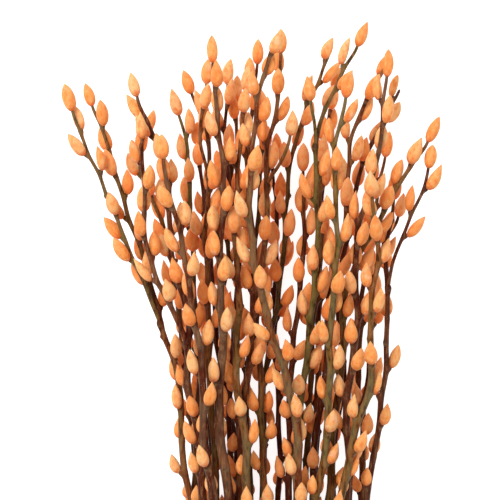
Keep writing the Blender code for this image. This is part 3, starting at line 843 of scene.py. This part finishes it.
# Bark
BARK_COLOURS = (
    (0.0, (0.082, 0.012, 0.005)),
    (0.28, (0.148, 0.029, 0.009)),
    (0.5, (0.228, 0.064, 0.014)),
    (0.72, (0.176, 0.078, 0.016)),
    (1.0, (0.140, 0.104, 0.022)),
)
BARK_BLOOM = (0.28, 0.140, 0.060)
BARK_DARK = (0.030, 0.010, 0.004)
BARK_LIGHT = (0.27, 0.145, 0.062)
BARK_DOT = (0.32, 0.21, 0.13)
BARK_KNOB = (0.060, 0.030, 0.020)
BARK_SCAR = (0.31, 0.19, 0.10)
# Painted shade: the dark red brown that bark is painted deep in the bunch
BARK_PAINTED_SHADE = (0.040, 0.004, 0.001)
# Grey brown, mixed in patches where the stem lies open to the sky above
BARK_OPEN_GREY = (0.175, 0.125, 0.070)

# Cut wood, from the pith out to the bark
CUT_COLOURS = (
    (0.0, (0.16, 0.09, 0.04)),
    (0.16, (0.22, 0.13, 0.06)),
    (0.24, (0.62, 0.50, 0.30)),
    (0.8, (0.55, 0.45, 0.24)),
    (0.9, (0.30, 0.33, 0.10)),
    (0.98, (0.08, 0.045, 0.03)),
)

# Down
DOWN_COLOURS = ((0.1, (0.78, 0.205, 0.032)), (0.45, (0.88, 0.335, 0.080)), (0.85, (0.84, 0.475, 0.200)))
DOWN_BASE = (0.70, 0.130, 0.012)
DOWN_TIP = (0.87, 0.50, 0.22)
DOWN_DARK = (0.78, 0.170, 0.019)
DOWN_LIGHT = (0.88, 0.50, 0.235)
DOWN_PATCH = (0.87, 0.60, 0.38)
DOWN_HAIR = (0.88, 0.54, 0.29)
# Painted shade: the deep orange that catkins are painted deep in the bunch
DOWN_PAINTED_SHADE = (0.90, 0.215, 0.038)

# Rubber and floor
RUBBER_COLOURS = ((0.3, (0.50, 0.31, 0.15)), (0.7, (0.62, 0.43, 0.24)))
FLOOR_COLOURS = ((0.0, (0.54, 0.54, 0.54)), (1.0, (0.56, 0.56, 0.56)))


class Nodes:
    """A node material in the making. Each method adds nodes and returns the socket with their result."""

    def __init__(self, name):
        self.material = bpy.data.materials.new(name)
        self.material.use_nodes = True
        self.tree = self.material.node_tree
        self.shader = self.tree.nodes["Principled BSDF"]

    def feed(self, socket, value):
        """Gives a socket its value, or links it to another socket."""
        if isinstance(value, bpy.types.NodeSocket):
            self.tree.links.new(value, socket)
        else:
            socket.default_value = value

    def add(self, kind, values=(), **settings):
        node = self.tree.nodes.new("ShaderNode" + kind)
        for key, value in settings.items():
            setattr(node, key, value)
        for key, value in dict(values).items():
            self.feed(node.inputs[key], value)
        return node

    def finish(self, values):
        """Sets the shader's inputs and gives the material back."""
        for key, value in values.items():
            self.feed(self.shader.inputs[key], value)
        return self.material

    def mark(self, name):
        return self.add("Attribute", attribute_name=name).outputs["Fac"]

    def maths(self, operation, *values, clamp=False):
        node = self.add("Math", operation=operation, use_clamp=clamp)
        for socket, value in zip(node.inputs, values):
            self.feed(socket, value)
        return node.outputs[0]

    def product(self, first, second):
        return self.maths("MULTIPLY", first, second, clamp=True)

    def sway(self, value, noise, amount, clamp=False):
        """The value, moved up and down by a noise."""
        swing = self.maths("MULTIPLY", self.maths("SUBTRACT", noise, 0.5), amount)
        return self.maths("ADD", value, swing, clamp=clamp)

    def mix(self, share, first, second):
        """The first colour, with a share of the second."""
        node = self.add("Mix", data_type="RGBA")
        self.feed(node.inputs["Factor"], share)
        self.feed(node.inputs[6], first)
        self.feed(node.inputs[7], (*second, 1))
        return node.outputs[2]

    def ramp(self, value, stops):
        node = self.add("ValToRGB", {"Fac": value})
        elements = node.color_ramp.elements
        while len(elements) < len(stops):
            elements.new(0.5)
        for element, (place, colour) in zip(elements, stops):
            element.position = place
            element.color = (*colour, 1)
        return node.outputs["Color"]

    def step(self, value, low, high, to=1.0):
        """From 0 where the value is low to `to` where it is high, smoothly."""
        node = self.add("MapRange", {"Value": value, "From Min": low, "From Max": high, "To Max": to})
        node.interpolation_type = "SMOOTHSTEP"
        return node.outputs["Result"]

    def place(self, scale):
        """Object coordinates in millimetres, each axis scaled."""
        where = self.add("TexCoord").outputs["Object"]
        return self.add("Mapping", {"Vector": where, "Scale": [s / MM for s in scale]}).outputs["Vector"]

    def noise(self, vector, scale, detail=3.0, roughness=0.55):
        values = {"Vector": vector, "Scale": scale, "Detail": detail, "Roughness": roughness}
        return self.add("TexNoise", values).outputs["Fac"]

    def cloud(self, scale, detail=3.0, roughness=0.55):
        """Noise in the object's own space, its scale in waves to a millimetre along each axis."""
        return self.noise(self.place(scale), 1.0, detail, roughness)

    def bump(self, height, strength, distance):
        """Relief: the distance is in millimetres."""
        values = {"Height": height, "Strength": strength, "Distance": distance * MM}
        return self.add("Bump", values).outputs["Normal"]


def bark_material():
    """Thin smooth bark, purple brown to olive, streaked along the stem, with pale dots, dark knobs and
    painted shade deep in the bunch.
    """
    n = Nodes("bark")
    streaks = n.cloud((0.9, 0.05, 0.9), 4)
    blotches = n.cloud((0.10, 0.03, 0.10), 2)
    tone = n.sway(n.sway(n.mark("tone"), streaks, 0.9), blotches, 1.3, clamp=True)
    colour = n.ramp(tone, BARK_COLOURS)
    bloom = n.step(n.cloud((0.35, 0.12, 0.35)), 0.5, 0.75, 0.2)
    colour = n.mix(bloom, colour, BARK_BLOOM)
    shade = n.cloud((0.5, 0.09, 0.5), 5, 0.65)
    colour = n.mix(n.step(shade, 0.50, 0.38, 0.85), colour, BARK_DARK)
    colour = n.mix(n.step(shade, 0.52, 0.63, 0.6), colour, BARK_LIGHT)
    dots = n.add("TexVoronoi", {"Vector": n.place((0.55, 0.24, 0.55)), "Scale": 1.0}).outputs["Distance"]
    lenticel = n.step(dots, 0.17, 0.08, 0.55)
    colour = n.mix(lenticel, colour, BARK_DOT)
    colour = n.mix(n.product(n.mark("knob"), 0.42), colour, BARK_KNOB)
    colour = n.mix(n.product(n.mark("scar"), 0.5), colour, BARK_SCAR)
    # Painted shade: bark deep in the bunch is painted dark red brown
    colour = n.mix(n.step(n.mark("shelter"), 0.12, 0.65, 0.72), colour, BARK_PAINTED_SHADE)
    # Greyer in patches where the stem lies open to the sky above, that is, where it has little painted shade
    open_grey = n.maths("MULTIPLY", n.step(n.mark("shelter"), 0.35, 0.0, 0.4), n.step(blotches, 0.4, 0.6))
    colour = n.mix(open_grey, colour, BARK_OPEN_GREY)
    wrinkles = n.cloud((3.2, 0.22, 3.2), 5, 0.6)
    height = n.maths("ADD", n.maths("MULTIPLY", wrinkles, 0.6), lenticel)
    return n.finish(
        {
            "Base Color": colour,
            "Roughness": n.step(wrinkles, 0.2, 0.8, 0.62),
            "Specular IOR Level": 0.06,
            "Normal": n.bump(height, 0.5, 0.25),
        }
    )


def cut_wood_material():
    """A fresh cut across the stem: pale wood in fine rings, a green line under the bark, brown pith."""
    n = Nodes("cut_wood")
    grain = n.cloud((2.5, 2.5, 2.5), 4)
    colour = n.ramp(n.sway(n.mark("depth"), grain, 0.12), CUT_COLOURS)
    roughness = n.step(grain, 0.2, 0.9, 0.9)
    return n.finish({"Base Color": colour, "Roughness": roughness, "Normal": n.bump(grain, 0.3, 0.15)})


def catkin_material():
    """Matte dyed down: orange to peach, deeper at the base, paler in patches, with fine hairs lengthwise, and
    painted shade deep in the bunch.
    """
    n = Nodes("catkin")
    along, hue = n.mark("along"), n.mark("hue")
    around = n.add("CombineXYZ", {"X": n.mark("grain_x"), "Y": n.mark("grain_y")}).outputs["Vector"]
    lengthwise = n.add("CombineXYZ", {"X": n.mark("grain_x"), "Y": n.mark("grain_y"), "Z": along})
    clouds = n.noise(lengthwise.outputs["Vector"], 1.3, 2)
    mottle = n.cloud((0.40, 0.26, 0.40), 5, 0.62)
    hairs = n.noise(around, 16, 3)
    share = n.maths("ADD", n.maths("MULTIPLY", hue, 0.55), n.maths("MULTIPLY", clouds, 0.5), clamp=True)
    colour = n.ramp(share, DOWN_COLOURS)
    colour = n.mix(n.step(n.sway(along, mottle, 0.5), 0.34, 0.0, 0.8), colour, DOWN_BASE)
    colour = n.mix(n.step(along, 0.45, 1.0, 0.3), colour, DOWN_TIP)
    colour = n.mix(n.step(mottle, 0.52, 0.34, 0.65), colour, DOWN_DARK)
    colour = n.mix(n.step(mottle, 0.54, 0.68, 0.5), colour, DOWN_LIGHT)
    patch = n.product(n.step(n.cloud((0.22, 0.16, 0.22)), 0.5, 0.66), n.mark("pale"))
    # The pale patches fade where painted shade lies
    patch = n.product(patch, n.maths("SUBTRACT", 1.0, n.mark("shelter")))
    colour = n.mix(n.maths("MULTIPLY", patch, 0.5), colour, DOWN_PATCH)
    colour = n.mix(n.step(hairs, 0.45, 0.75, 0.28), colour, DOWN_HAIR)
    # Painted shade: catkins deep in the bunch are painted a deeper orange
    colour = n.mix(n.step(n.mark("shelter"), 0.12, 0.6, 0.5), colour, DOWN_PAINTED_SHADE)
    height = n.maths("ADD", n.maths("MULTIPLY", hairs, 0.5), n.maths("MULTIPLY", mottle, 2.0))
    return n.finish(
        {
            "Base Color": colour,
            "Roughness": 0.72,
            "Specular IOR Level": 0.25,
            "Subsurface Weight": 0.3,
            "Subsurface Radius": (1.0, 0.35, 0.12),
            "Subsurface Scale": 2.5 * MM,
            "Sheen Weight": 0.12,
            "Sheen Roughness": 0.5,
            "Sheen Tint": (1.0, 0.75, 0.5, 1),
            "Normal": n.bump(height, 0.6, 0.3),
        }
    )


def rubber_material():
    """Plain tan rubber, faintly speckled."""
    n = Nodes("rubber")
    speckle = n.cloud((0.8, 0.8, 0.8), 4)
    colour = n.ramp(speckle, RUBBER_COLOURS)
    roughness = n.step(speckle, 0.0, 1.0, 0.75)
    return n.finish({"Base Color": colour, "Roughness": roughness, "Normal": n.bump(speckle, 0.25, 0.15)})


def floor_material():
    """A matte white ground, which glows a little so that it stays white between the stems."""
    n = Nodes("floor")
    return n.finish(
        {
            "Base Color": n.ramp(n.cloud((0.02, 0.02, 0.02), 2), FLOOR_COLOURS),
            "Roughness": 0.9,
            "Specular IOR Level": 0.1,
            "Emission Color": (1, 1, 1, 1),
            "Emission Strength": FLOOR_GLOW,
        }
    )


# Stage


def build_floor():
    """A square of floor just under the bunch."""
    mesh = bpy.data.meshes.new("floor")
    corners = [(x * FLOOR_HALF, y * FLOOR_HALF, 0) for x, y in ((-1, -1), (1, -1), (1, 1), (-1, 1))]
    mesh.from_pydata(corners, [], [(0, 1, 2, 3)])
    mesh.materials.append(floor_material())
    floor = bpy.data.objects.new("floor", mesh)
    floor.location.z = -FLOOR_BELOW
    bpy.context.scene.collection.objects.link(floor)


def add_lamp(name, place, aim, size, energy, colour):
    """A square lamp at a place, turned to its aim."""
    data = bpy.data.lights.new(name, "AREA")
    data.shape = "SQUARE"
    data.size = size
    data.energy = energy
    data.color = colour
    lamp = bpy.data.objects.new(name, data)
    lamp.location = place
    lamp.rotation_euler = (Vector(aim) - Vector(place)).to_track_quat("-Z", "Y").to_euler()
    bpy.context.scene.collection.objects.link(lamp)


def light_stage():
    """Soft light from the upper left of the picture, and an even white surround."""
    head = (PHOTO_MIDDLE_X * MM, PHOTO_MIDDLE_Y * MM, PHOTO_PLANE_Z * MM)
    for name, (place, size, energy, colour) in LAMPS.items():
        add_lamp(name, place, head, size, energy, colour)
    world = bpy.data.worlds.new("surround")
    world.use_nodes = True
    background = world.node_tree.nodes["Background"]
    background.inputs["Color"].default_value = (1, 1, 1, 1)
    background.inputs["Strength"].default_value = SURROUND
    bpy.context.scene.world = world


def set_camera():
    """Looks straight down on the head of the bunch, with the photograph's frame."""
    data = bpy.data.cameras.new("camera")
    data.sensor_width = SENSOR
    data.lens = SENSOR * CAMERA_DISTANCE / (PHOTO_SIZE * PIXEL)
    camera = bpy.data.objects.new("camera", data)
    camera.location = Vector((PHOTO_MIDDLE_X, PHOTO_MIDDLE_Y, PHOTO_PLANE_Z + CAMERA_DISTANCE)) * MM
    bpy.context.scene.collection.objects.link(camera)
    bpy.context.scene.camera = camera


def dress(stems):
    """Makes every piece, ties it to its body and hides its solid."""
    # Painted shade: how sheltered each shoot is sets how much darker its bark and catkins are painted
    set_shelter(stems + [stem.twig for stem in stems if stem.twig])
    bark, cut_wood, down = bark_material(), cut_wood_material(), catkin_material()
    for number, stem in enumerate(stems, 1):
        wood = build_bark(stem, number, (bark, cut_wood))
        catkins = build_catkins(stem, down)
        for piece, slot in ((wood, "bark"), (catkins, "catkin")):
            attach(piece, "root")
            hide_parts(stem.name)
    band = build_band(stems, rubber_material())
    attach(band, "root")
    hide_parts("rubber_band")


dress(grow_bunch())
build_floor()
light_stage()
set_camera()
bpy.context.scene.view_settings.view_transform = "Standard"
